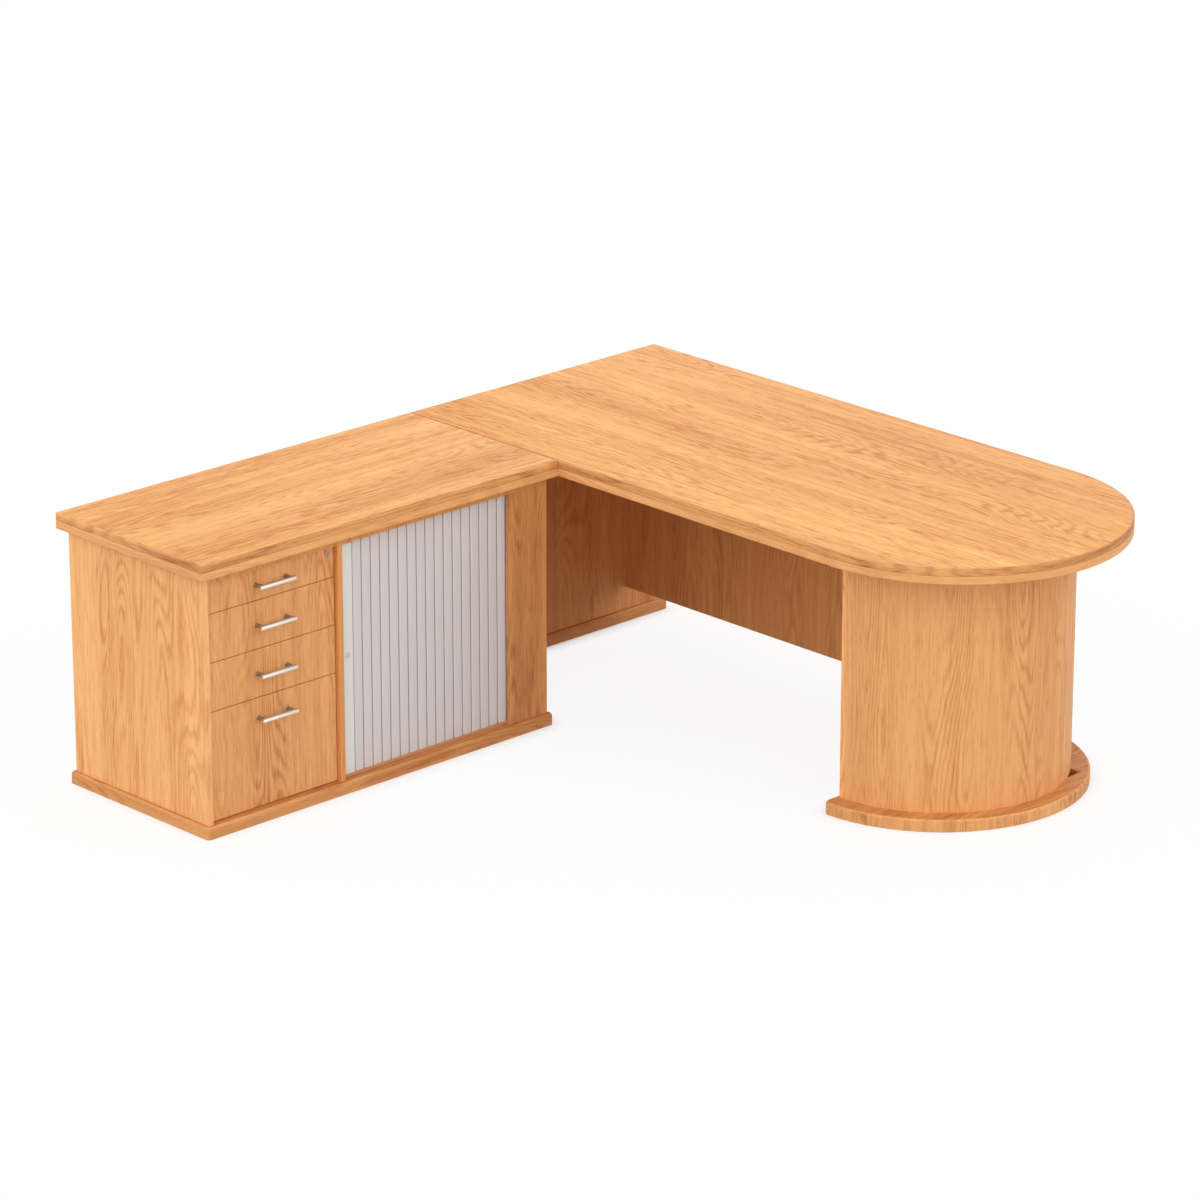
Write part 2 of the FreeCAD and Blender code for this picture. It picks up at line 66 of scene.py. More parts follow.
Socket = bpy.types.NodeSocket
Triple = tuple[float, float, float]
Colour = tuple[float, float, float, float]

LOG = logging.getLogger("desk")
DRAWERS = 4
# points nearer than this are one point
TINY = 1e-6
# edges flatter than this many degrees are shaded smooth
SMOOTH_ANGLE = 40.0
# corners of a face
CORNERS = 4
# all feet are as high as this one, and what lies above the edge counts as their upper side
FOOT_NODE = "d_leg_plinth"
FOOT_EDGE = 0.0002


class GrainAxis(Enum):
    """Where a wood finish takes its grain direction from: an order of the axes, or another way."""

    ALONG_X = "XYZ"
    ALONG_Y = "YXZ"
    UPRIGHT = "ZXY"
    UPRIGHT_RIM = "upright on a foot's rim, along Y on its upper side"
    OWN_MAP = "the piece's own map"


class Outline(Enum):
    """The plan shapes of a worktop."""

    STRAIGHT = "straight"
    ROUND_END = "round end"


class BoardSide(Enum):
    """The sides of a worktop's board with a finish each, in the order of its materials."""

    FACE = 0
    RIM = 1
    SEAM = 2


class Axis(Enum):
    """The axes that the parts of a handle are turned about."""

    X = 0
    Y = 1


class MixKind(Enum):
    """What a Mix node blends: its data type, the first of its two inputs, and its output."""

    VECTOR = ("VECTOR", 4, 1)
    COLOUR = ("RGBA", 6, 2)


def srgb(red: float, green: float, blue: float) -> Colour:
    """A colour as it looks on a screen, as the linear colour that a shader takes.

    The screen's curve is a short straight line near black and a power above it.

    Args:
        red: From 0 to 255.
        green: From 0 to 255.
        blue: From 0 to 255.

    Returns:
        Linear red, green, blue and an alpha of 1.
    """
    screen = np.array([red, green, blue]) / 255.0
    linear = np.where(screen <= 0.04045, screen / 12.92, ((screen + 0.055) / 1.055) ** 2.4)
    return (*(float(v) for v in linear), 1.0)


def grey(level: float) -> Colour:
    """An even grey, as the linear colour that a shader takes."""
    return (level, level, level, 1.0)


def placed(name: str, data: bpy.types.ID) -> bpy.types.Object:
    """A new object at the origin of the scene.

    Args:
        name: The object's name.
        data: Its mesh, lamp or camera.

    Returns:
        The object.
    """
    made = bpy.data.objects.new(name, data)
    bpy.context.scene.collection.objects.link(made)
    return made


def node_box(node: str) -> tuple[np.ndarray, np.ndarray]:
    """The lowest and the highest corner of a CAD node, as arrays."""
    low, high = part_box(node)
    return np.array(low), np.array(high)


def rounding(radius: float, count: int) -> np.ndarray:
    """A rounded edge: the radius times one minus the sine and the cosine of a quarter turn.

    Args:
        radius: The edge's radius.
        count: Points across it.

    Returns:
        Rows of how far in it lies from one face and from the other.
    """
    turn = np.linspace(0.0, math.pi / 2, count)
    return radius * (1 - np.stack([np.sin(turn), np.cos(turn)], 1))


@dataclass
class Patch:
    """A grid of surface points with a flat map, which becomes part of a mesh.

    Attributes:
        points: Places, with the grid's rows and columns as the first two axes.
        across: Map places of the same grid, grain direction first.
        finish: Which of its piece's finishes it takes.
    """

    points: np.ndarray
    across: np.ndarray
    finish: int = 0

    def faces(self) -> np.ndarray:
        """The four-sided faces between neighbouring rows and columns.

        Returns:
            Four point numbers per face.
        """
        rows, columns = self.points.shape[:2]
        corner = (np.arange(rows - 1)[:, None] * columns + np.arange(columns - 1)).ravel()
        return np.stack([corner, corner + columns, corner + columns + 1, corner + 1], -1)


def build_piece(
    name: str,
    patches: list[Patch],
    materials: list[bpy.types.Material],
    closed: bool = True,
) -> bpy.types.Object:
    """One mesh object from patches, welded where they meet and facing outwards.

    Args:
        name: The piece's name.
        patches: The grids that make up its surface.
        materials: Its finishes.
        closed: Whether the patches close a volume, so that normals are worked out again.

    Returns:
        The new object, at the origin.
    """
    starts = np.cumsum([0] + [p.points[..., 0].size for p in patches])
    points = np.concatenate([p.points.reshape(-1, 3) for p in patches])
    flat = np.concatenate([p.across.reshape(-1, 2) for p in patches])
    faces = np.concatenate([p.faces() + s for p, s in zip(patches, starts)])
    mesh = bpy.data.meshes.new(name)
    mesh.vertices.add(len(points))
    mesh.vertices.foreach_set("co", points.astype(np.float32).ravel())
    mesh.loops.add(faces.size)
    mesh.loops.foreach_set("vertex_index", faces.astype(np.int32).ravel())
    mesh.polygons.add(len(faces))
    mesh.polygons.foreach_set("loop_start", np.arange(0, faces.size, CORNERS, dtype=np.int32))
    mesh.polygons.foreach_set("loop_total", np.full(len(faces), CORNERS, dtype=np.int32))
    finishes = np.concatenate([np.full(len(p.faces()), p.finish, dtype=np.int32) for p in patches])
    mesh.polygons.foreach_set("material_index", finishes)
    own_map = mesh.uv_layers.new(name="grain")
    own_map.data.foreach_set("uv", flat[faces.ravel()].astype(np.float32).ravel())
    mesh.update(calc_edges=True)
    mesh.validate()
    weld(mesh, closed)
    mesh.polygons.foreach_set("use_smooth", np.ones(len(mesh.polygons), dtype=bool))
    mesh.set_sharp_from_angle(angle=math.radians(SMOOTH_ANGLE))
    for material in materials:
        mesh.materials.append(material)
    return placed(name, mesh)


def weld(mesh: bpy.types.Mesh, closed: bool) -> None:
    """Merge points in the same place, drop empty faces and turn a closed shape's faces outwards.

    Args:
        mesh: The mesh to mend in place.
        closed: Whether the mesh closes a volume.
    """
    work = bmesh.new()
    work.from_mesh(mesh)
    bmesh.ops.remove_doubles(work, verts=work.verts, dist=TINY)
    bmesh.ops.dissolve_degenerate(work, edges=work.edges, dist=TINY)
    if closed:
        bmesh.ops.recalc_face_normals(work, faces=work.faces)
    work.to_mesh(mesh)
    work.free()


class NodeTree:
    """A thin hand on a shader tree: it adds nodes and feeds their inputs."""

    def __init__(self, tree: bpy.types.NodeTree) -> None:
        """Keep the tree that nodes are added to."""
        self.tree = tree

    def add(self, kind: str, **settings: object) -> bpy.types.Node:
        """A new node with some of its properties set.

        Args:
            kind: The node type.
            **settings: Property names and values.

        Returns:
            The node.
        """
        node = self.tree.nodes.new(kind)
        for key, value in settings.items():
            setattr(node, key, value)
        return node

    def feed(self, value: object, target: Socket) -> None:
        """Link a socket, or set a plain value, on an input.

        Args:
            value: The socket or the value.
            target: The input.
        """
        if isinstance(value, Socket):
            self.tree.links.new(value, target)
        else:
            target.default_value = value

    def feed_all(self, node: bpy.types.Node, values: dict[str, object]) -> None:
        """Feed several inputs of a node by their names."""
        for label, value in values.items():
            self.feed(value, node.inputs[label])

    def math(self, operation: str, *values: object) -> Socket:
        """A Math node.

        Args:
            operation: The node's operation.
            *values: Sockets or numbers for its inputs.

        Returns:
            The node's output.
        """
        node = self.add("ShaderNodeMath", operation=operation)
        for value, target in zip(values, node.inputs):
            self.feed(value, target)
        return node.outputs[0]

    def stretched(self, vector: Socket, scale: Triple, place: Triple = (0.0, 0.0, 0.0)) -> Socket:
        """A vector scaled axis by axis and then moved.

        Args:
            vector: The vector's socket.
            scale: Factor for each axis.
            place: Shift after the scaling.

        Returns:
            The new vector's socket.
        """
        node = self.add("ShaderNodeMapping")
        self.feed_all(node, {"Vector": vector, "Scale": scale, "Location": place})
        return node.outputs[0]

    def noise(self, vector: Socket, detail: float, roughness: float = 0.5) -> Socket:
        """A smooth three-way noise from 0 to 1, of frequency 1.

        Args:
            vector: Where it is read.
            detail: How many finer layers it has.
            roughness: How strong the finer layers are.

        Returns:
            The noise value's socket.
        """
        node = self.add("ShaderNodeTexNoise", noise_dimensions="3D")
        self.feed_all(node, {"Vector": vector, "Scale": 1.0, "Detail": detail, "Roughness": roughness})
        return node.outputs[0]

    def ramp(self, value: Socket, low: float, high: float,
             bottom: float = 0.0, top: float = 1.0) -> Socket:
        """A value brought smoothly from one range to another and held there.

        Args:
            value: The value's socket.
            low: Start of the range that it comes from.
            high: End of that range.
            bottom: Result at the start.
            top: Result at the end.

        Returns:
            The new value's socket.
        """
        node = self.add("ShaderNodeMapRange", interpolation_type="SMOOTHSTEP")
        ranges = {"From Min": low, "From Max": high, "To Min": bottom, "To Max": top}
        self.feed_all(node, {"Value": value, **ranges})
        return node.outputs["Result"]

    def blend(self, share: object, first: object, second: object,
              kind: MixKind = MixKind.COLOUR) -> Socket:
        """A colour between two colours, or a vector between two vectors.

        Args:
            share: How much of the second one, as a socket or a number.
            first: A value or its socket.
            second: A value or its socket.
            kind: What is blended.

        Returns:
            The mixed value's socket.
        """
        data_type, start, result = kind.value
        node = self.add("ShaderNodeMix", data_type=data_type)
        self.feed(share, node.inputs["Factor"])
        self.feed(first, node.inputs[start])
        self.feed(second, node.inputs[start + 1])
        return node.outputs[result]

    def object_axes(self) -> bpy.types.bpy_prop_collection:
        """The sockets X, Y and Z of a surface place in its object."""
        parts = self.add("ShaderNodeSeparateXYZ")
        self.feed(self.add("ShaderNodeTexCoord").outputs["Object"], parts.inputs[0])
        return parts.outputs


@dataclass(frozen=True)
class DrawnNoise:
    """A noise that is drawn out along the grain.

    Attributes:
        along: Its frequency along the grain.
        across: Its frequency across the grain.
        start: Where along the grain it is read from.
        detail: How many finer layers it has.
        roughness: How strong the finer layers are.
        span: The part of its range over which it goes from light to dark.
    """

    along: float
    across: float
    start: float = 0.0
    detail: float = 2.0
    roughness: float = 0.5
    span: tuple[float, float] = (0.0, 1.0)

    def value(self, tree: NodeTree, place: Socket) -> Socket:
        """The noise at a grain place, from 0 to 1."""
        drawn = tree.stretched(place, (self.along, self.across, self.across), (self.start, 0.0, 0.0))
        return tree.noise(drawn, self.detail, self.roughness)

    def dark(self, tree: NodeTree, place: Socket, least: float = 0.0) -> Socket:
        """The darkness at a grain place, from the least one to 1."""
        return tree.ramp(self.value(tree, place), *self.span, least)


@dataclass(frozen=True)
class OakFigure:
    """The grain of sawn oak as a shader group that every wood finish shares.

    The group reads a place whose first axis runs along the grain. Growth lines are level lines of a
    noise that is drawn out along the grain, so they close into long arches. Streaks are finer and
    longer noises, flecks and pores are short dark dashes, and tone is a slow band.

    Attributes:
        name: The group's name.
        growth: The noise whose level lines are the growth lines.
        growth_lines: How many lines its whole range holds.
        ripple: The noise that bends the lines.
        ripple_depth: How far it bends them, in lines.
        line_start: How far from a line's edge it starts to darken, in lines.
        clearness: The noise that makes lines clear here and faint there.
        faintest: Strength of the faintest lines.
        broad: The broad streaks.
        fine: The fine streaks over them.
        fine_share: How much of the streaks is fine.
        streak_span: The span of both together.
        fleck: The flecks.
        pore: The pores.
        tone: The slow bands.
    """

    name: str = "oak_figure"
    growth: DrawnNoise = DrawnNoise(1.2, 9.0, 0.0, 1.0, 0.4)
    growth_lines: float = 24.0
    ripple: DrawnNoise = DrawnNoise(11.0, 80.0, 1.3, 2.0, 0.6)
    ripple_depth: float = 0.75
    line_start: float = 0.14
    clearness: DrawnNoise = DrawnNoise(1.6, 10.0, 5.9, 2.0, 0.5, (0.38, 0.62))
    faintest: float = 0.1
    broad: DrawnNoise = DrawnNoise(1.3, 46.0, 0.0, 3.0, 0.6)
    fine: DrawnNoise = DrawnNoise(6.0, 260.0, 2.9)
    fine_share: float = 0.3
    streak_span: tuple[float, float] = (0.34, 0.66)
    fleck: DrawnNoise = DrawnNoise(15.0, 190.0, 4.3, 2.0, 0.6, (0.5, 0.68))
    pore: DrawnNoise = DrawnNoise(34.0, 620.0, 3.1, 1.0, 0.5, (0.56, 0.7))
    tone: DrawnNoise = DrawnNoise(0.55, 5.5, 7.7, 2.0, 0.55, (0.3, 0.7))

    def group(self) -> bpy.types.NodeTree:
        """The shader group, made once."""
        return bpy.data.node_groups.get(self.name) or self._make()

    def _make(self) -> bpy.types.NodeTree:
        """Build the group's sockets and nodes.

        Returns:
            The new group, with the outputs Arch, Streak, Fleck, Pore and Tone.
        """
        made = bpy.data.node_groups.new(self.name, "ShaderNodeTree")
        made.interface.new_socket("Vector", in_out="INPUT", socket_type="NodeSocketVector")
        for label in ("Arch", "Streak", "Fleck", "Pore", "Tone"):
            made.interface.new_socket(label, in_out="OUTPUT", socket_type="NodeSocketFloat")
        tree = NodeTree(made)
        place = tree.add("NodeGroupInput").outputs["Vector"]
        tree.feed_all(tree.add("NodeGroupOutput"), {
            "Arch": self._arches(tree, place),
            "Streak": self._streaks(tree, place),
            "Fleck": self.fleck.dark(tree, place),
            "Pore": self.pore.dark(tree, place),
            "Tone": self.tone.dark(tree, place),
        })
        return made

    def _streaks(self, tree: NodeTree, place: Socket) -> Socket:
        """Long streaks: a broad drawn-out noise with a finer one over it.

        Args:
            tree: The group's tree.
            place: The grain place.

        Returns:
            The streaks' darkness from 0 to 1.
        """
        broad = tree.math("MULTIPLY", self.broad.value(tree, place), 1.0 - self.fine_share)
        both = tree.math("MULTIPLY_ADD", self.fine.value(tree, place), self.fine_share, broad)
        return tree.ramp(both, *self.streak_span)

    def _arches(self, tree: NodeTree, place: Socket) -> Socket:
        """Growth lines: soft dark level lines of a drawn-out noise, bent by a finer one.

        Args:
            tree: The group's tree.
            place: The grain place.

        Returns:
            The lines' darkness from 0 to 1.
        """
        level = tree.math("MULTIPLY", self.growth.value(tree, place), self.growth_lines)
        bend = tree.math("MULTIPLY", self.ripple.value(tree, place), self.ripple_depth)
        # lines are 1 apart, so the level goes up and down between an edge and a middle
        middle = 0.5
        wave = tree.math("PINGPONG", tree.math("ADD", level, bend), middle)
        line = tree.ramp(wave, self.line_start, middle)
        return tree.math("MULTIPLY", line, self.clearness.dark(tree, place, self.faintest))


@dataclass(frozen=True)
class Finish:
    """A finish that becomes one material.

    Attributes:
        name: The material's name.
        slot: The record's material slot; not used.
    """

    name: str
    slot: str

    def material(self) -> bpy.types.Material:
        """The finish as a material.

        Returns:
            A new material, or the one already made.
        """
        found = bpy.data.materials.get(self.name)
        if found:
            return found
        made = bpy.data.materials.new(self.name)
        made.use_nodes = True
        self.fill(NodeTree(made.node_tree), made.node_tree.nodes["Principled BSDF"])
        return made

    def fill(self, tree: NodeTree, shader: bpy.types.Node) -> None:
        """Feed the material's shader, each kind of finish in its own way."""
        raise NotImplementedError


@dataclass(frozen=True)
class OakFinish(Finish):
    """A satin oak woodgrain finish.

    Attributes:
        pale: The wood's light colour.
        dark: The colour of its growth lines.
        axis: Where its grain direction comes from.
        shift: Where in the figure this finish is cut from.
        arch: Strength of the growth lines.
        streak: Strength of the long streaks.
        fleck: Strength of the short flecks.
        tone: Strength of the slow bands.
        pore: Strength of the pores.
        painted_upper_shade: How much painted shade darkens a foot's flat upper side against its rim.
        roughness: The sheen's spread.
        streak_roughness: How much wider the spread is on a streak.
        sheen: The sheen's strength.
        relief: Strength of the pores' relief.
        relief_depth: How deep a pore is.
    """

    pale: Colour
    dark: Colour
    axis: GrainAxis
    shift: Triple = (0.0, 0.0, 0.0)
    arch: float = 0.38
    streak: float = 0.3
    fleck: float = 0.16
    tone: float = 0.2
    pore: float = 0.16
    painted_upper_shade: float = 0.0
    roughness: float = 0.46
    streak_roughness: float = 0.1
    sheen: float = 0.28
    relief: float = 0.06
    relief_depth: float = 0.0008

    def fill(self, tree: NodeTree, shader: bpy.types.Node) -> None:
        """Feed the shader's colour, sheen and relief from the shared figure.

        Args:
            tree: The material's tree.
            shader: Its shader.
        """
        figure = tree.add("ShaderNodeGroup", node_tree=OakFigure().group())
        tree.feed(self._grain_place(tree), figure.inputs["Vector"])
        outs = figure.outputs
        share = tree.math("MULTIPLY", outs["Arch"], self.arch)
        # painted shade: a foot's flat upper side is drawn darker than its rim
        if self.painted_upper_shade:
            share = tree.math("MULTIPLY_ADD", self._upper_side(tree), self.painted_upper_shade, share)
        strengths = {"Streak": self.streak, "Fleck": self.fleck, "Tone": self.tone, "Pore": self.pore}
        for label, strength in strengths.items():
            share = tree.math("MULTIPLY_ADD", outs[label], strength, share)
        rough = tree.math("MULTIPLY_ADD", outs["Streak"], self.streak_roughness, self.roughness)
        bump = tree.add("ShaderNodeBump")
        relief = {"Strength": self.relief, "Distance": self.relief_depth, "Height": outs["Pore"]}
        tree.feed_all(bump, relief)
        tree.feed_all(shader, {
            "Base Color": tree.blend(share, self.pale, self.dark),
            "Roughness": rough,
            "Specular IOR Level": self.sheen,
            "Normal": bump.outputs["Normal"],
        })

    def _grain_place(self, tree: NodeTree) -> Socket:
        """The surface place with the grain direction first.

        Args:
            tree: The material's tree.

        Returns:
            The place's socket.
        """
        if self.axis is GrainAxis.OWN_MAP:
            place = tree.add("ShaderNodeTexCoord").outputs["UV"]
        elif self.axis is GrainAxis.UPRIGHT_RIM:
            rim = self._ordered(tree, GrainAxis.UPRIGHT)
            upper = self._ordered(tree, GrainAxis.ALONG_Y)
            place = tree.blend(self._upper_side(tree), rim, upper, MixKind.VECTOR)
        else:
            place = self._ordered(tree, self.axis)
        return tree.stretched(place, (1.0, 1.0, 1.0), self.shift)

    def _ordered(self, tree: NodeTree, axis: GrainAxis) -> Socket:
        """The surface place with its axes in another order, grain direction first.

        Args:
            tree: The material's tree.
            axis: Which way the grain runs.

        Returns:
            The place's socket.
        """
        parts = tree.object_axes()
        joined = tree.add("ShaderNodeCombineXYZ")
        tree.feed_all(joined, {target: parts[source] for source, target in zip(axis.value, "XYZ")})
        return joined.outputs[0]

    def _upper_side(self, tree: NodeTree) -> Socket:
        """1 on a foot's flat upper side, 0 on its rim."""
        upper_side = node_box(FOOT_NODE)[1][2] - FOOT_EDGE
        return tree.math("GREATER_THAN", tree.object_axes()["Z"], upper_side)


@dataclass(frozen=True)
class PlainFinish(Finish):
    """A plain finish with a faint cloud in its colour and sheen.

    Attributes:
        colour: Its colour.
        roughness: The sheen's spread.
        metallic: 1 for metal, 0 for the rest.
        streak: Frequencies of a drawn-out noise on the three axes.
        depth: How much that noise darkens the colour.
        detail: How many finer layers it has.
        sheen_cloud: How much it changes the sheen's spread.
    """

    colour: Colour
    roughness: float = 0.4
    metallic: float = 0.0
    streak: Triple = (40.0, 40.0, 40.0)
    depth: float = 0.06
    detail: float = 2.0
    sheen_cloud: float = 0.08

    def fill(self, tree: NodeTree, shader: bpy.types.Node) -> None:
        """Feed the shader's colour and sheen from one noise.

        Args:
            tree: The material's tree.
            shader: Its shader.
        """
        place = tree.add("ShaderNodeTexCoord").outputs["Object"]
        cloud = tree.noise(tree.stretched(place, self.streak), self.detail)
        darker = tuple(c * (1.0 - self.depth) for c in self.colour[:3]) + (1.0,)
        least = self.roughness - self.sheen_cloud / 2
        tree.feed_all(shader, {
            "Base Color": tree.blend(cloud, darker, self.colour),
            "Roughness": tree.math("MULTIPLY_ADD", cloud, self.sheen_cloud, least),
            "Metallic": self.metallic,
        })


TOP_OAK = OakFinish(
    "oak_worktop", "oak_top", srgb(255, 195, 122), srgb(203, 122, 56), GrainAxis.OWN_MAP,
    fleck=0.38, tone=0.4
)
UPPER_EDGE_OAK = OakFinish(
    "oak_upper_edging", "oak_top", srgb(243, 177, 112), srgb(156, 89, 40), GrainAxis.OWN_MAP,
    (0.55, 0.0, 0.0), arch=0.36, streak=0.46, fleck=0.24, tone=0.32
)
LOWER_EDGE_OAK = OakFinish(
    "oak_lower_edging", "oak_top", srgb(244, 182, 119), srgb(194, 122, 64), GrainAxis.OWN_MAP,
    arch=0.2
)
SEAM_OAK = OakFinish(
    "oak_seam_edging", "oak_top", srgb(204, 136, 80), srgb(164, 102, 54), GrainAxis.OWN_MAP
)
END_OAK = OakFinish(
    "oak_end_panel", "oak_panel", srgb(255, 192, 127), srgb(205, 126, 65), GrainAxis.UPRIGHT,
    arch=0.36, streak=0.26, fleck=0.24
)
# oak for the other panels: its grain, darker and redder than the end panels' oak as painted shade for
# the panels under the desk
PAINTED_SHADE_PANEL_OAK = OakFinish(
    "oak_upright_panel_painted_shade", "oak_panel", srgb(230, 161, 97), srgb(186, 112, 56), GrainAxis.UPRIGHT
)
# the filler's oak: stronger grain, and darker as painted shade for its place in the inner corner
PAINTED_SHADE_BLANK_OAK = OakFinish(
    "oak_blank_panel_painted_shade", "oak_panel", srgb(226, 158, 95), srgb(160, 92, 44), GrainAxis.UPRIGHT,
    (0.7, 1.9, 0.0), arch=0.46, fleck=0.24
)
FRONT_OAK = OakFinish(
    "oak_drawer_front", "oak_front", srgb(239, 176, 114), srgb(186, 112, 56), GrainAxis.UPRIGHT,
    (2.3, 0.4, 0.0), arch=0.42, streak=0.26, fleck=0.22
)
LEG_OAK = OakFinish(
    "oak_curved_leg", "oak_panel", srgb(238, 176, 113), srgb(193, 121, 63), GrainAxis.OWN_MAP,
    streak=0.26, fleck=0.24
)
# the feet's oak, with painted shade on their flat upper sides; the two copies below keep it
FOOT_OAK_X = OakFinish(
    "oak_foot_across", "oak_foot", srgb(228, 163, 101), srgb(174, 104, 52), GrainAxis.ALONG_X,
    painted_upper_shade=0.3
)
FOOT_OAK_Y = replace(FOOT_OAK_X, name="oak_foot_along", axis=GrainAxis.ALONG_Y)
ROUND_FOOT_OAK = replace(
    FOOT_OAK_X, name="oak_round_foot", pale=srgb(236, 174, 111), axis=GrainAxis.UPRIGHT_RIM
)
DRAWER_BOARD = PlainFinish("faced_drawer_board", "drawer_board", srgb(226, 222, 214), 0.5)
SLAT_GREY = PlainFinish(
    "shutter_slat_grey", "curtain_grey", srgb(218, 211, 208), 0.42,
    streak=(900.0, 900.0, 3.0), depth=0.1
)
# a darker copy of the slat grey for the slats' sides: painted shade in the grooves
GROOVE_PAINTED_SHADE_GREY = PlainFinish("shutter_groove_painted_shade", "curtain_grey", srgb(176, 168, 166), 0.6)
STILE_GREY = PlainFinish("shutter_stile_grey", "stile_grey", srgb(226, 226, 221), 0.4)
TRACK_PLASTIC = PlainFinish("shutter_track_brown", "track_plastic", srgb(205, 146, 96), 0.5)
NICKEL = PlainFinish(
    "satin_nickel", "satin_nickel", srgb(245, 234, 221), 0.34, 1.0,
    streak=(30.0, 900.0, 900.0), depth=0.05
)
# a darker copy of the satin nickel: painted shade on the bar's upper side
PAINTED_SHADE_NICKEL = PlainFinish("satin_nickel_painted_shade", "satin_nickel", srgb(206, 194, 182), 0.4, 1.0)
# a darker, duller copy of the satin nickel for the posts: painted shade
PAINTED_SHADE_POST_NICKEL = PlainFinish("satin_nickel_post_painted_shade", "satin_nickel", srgb(156, 140, 124), 0.5, 0.7)
CHROME = PlainFinish("plated_lock", "lock_chrome", srgb(205, 205, 205), 0.18, 1.0)
ZINC = PlainFinish("zinc_plate", "zinc_steel", srgb(190, 193, 196), 0.36, 1.0)

# finishes and the node names that take them: the first match counts
NODE_FINISHES: tuple[tuple[Finish, tuple[str, ...]], ...] = (
    (END_OAK, ("outer_end_panel", "d_leg_inner_panel")),
    (FRONT_OAK, ("drawer_*_front",)),
    (PAINTED_SHADE_BLANK_OAK, ("filler_panel",)),
    (ROUND_FOOT_OAK, (FOOT_NODE,)),
    (FOOT_OAK_X, ("*plinth*_end",)),
    (FOOT_OAK_Y, ("*plinth*",)),
    (DRAWER_BOARD, ("*_walls", "*_base", "cupboard_shelf", "cupboard_bottom")),
    (TRACK_PLASTIC, ("*_track",)),
    (STILE_GREY, ("shutter_stile",)),
    (SLAT_GREY, ("shutter_slats",)),
    (CHROME, ("*_lock*",)),
    (ZINC, ("*_runners", "*_brackets", "*_plates", "*_clips")),
    (NICKEL, ("*_handle",)),
    (PAINTED_SHADE_PANEL_OAK, ("*",)),
)


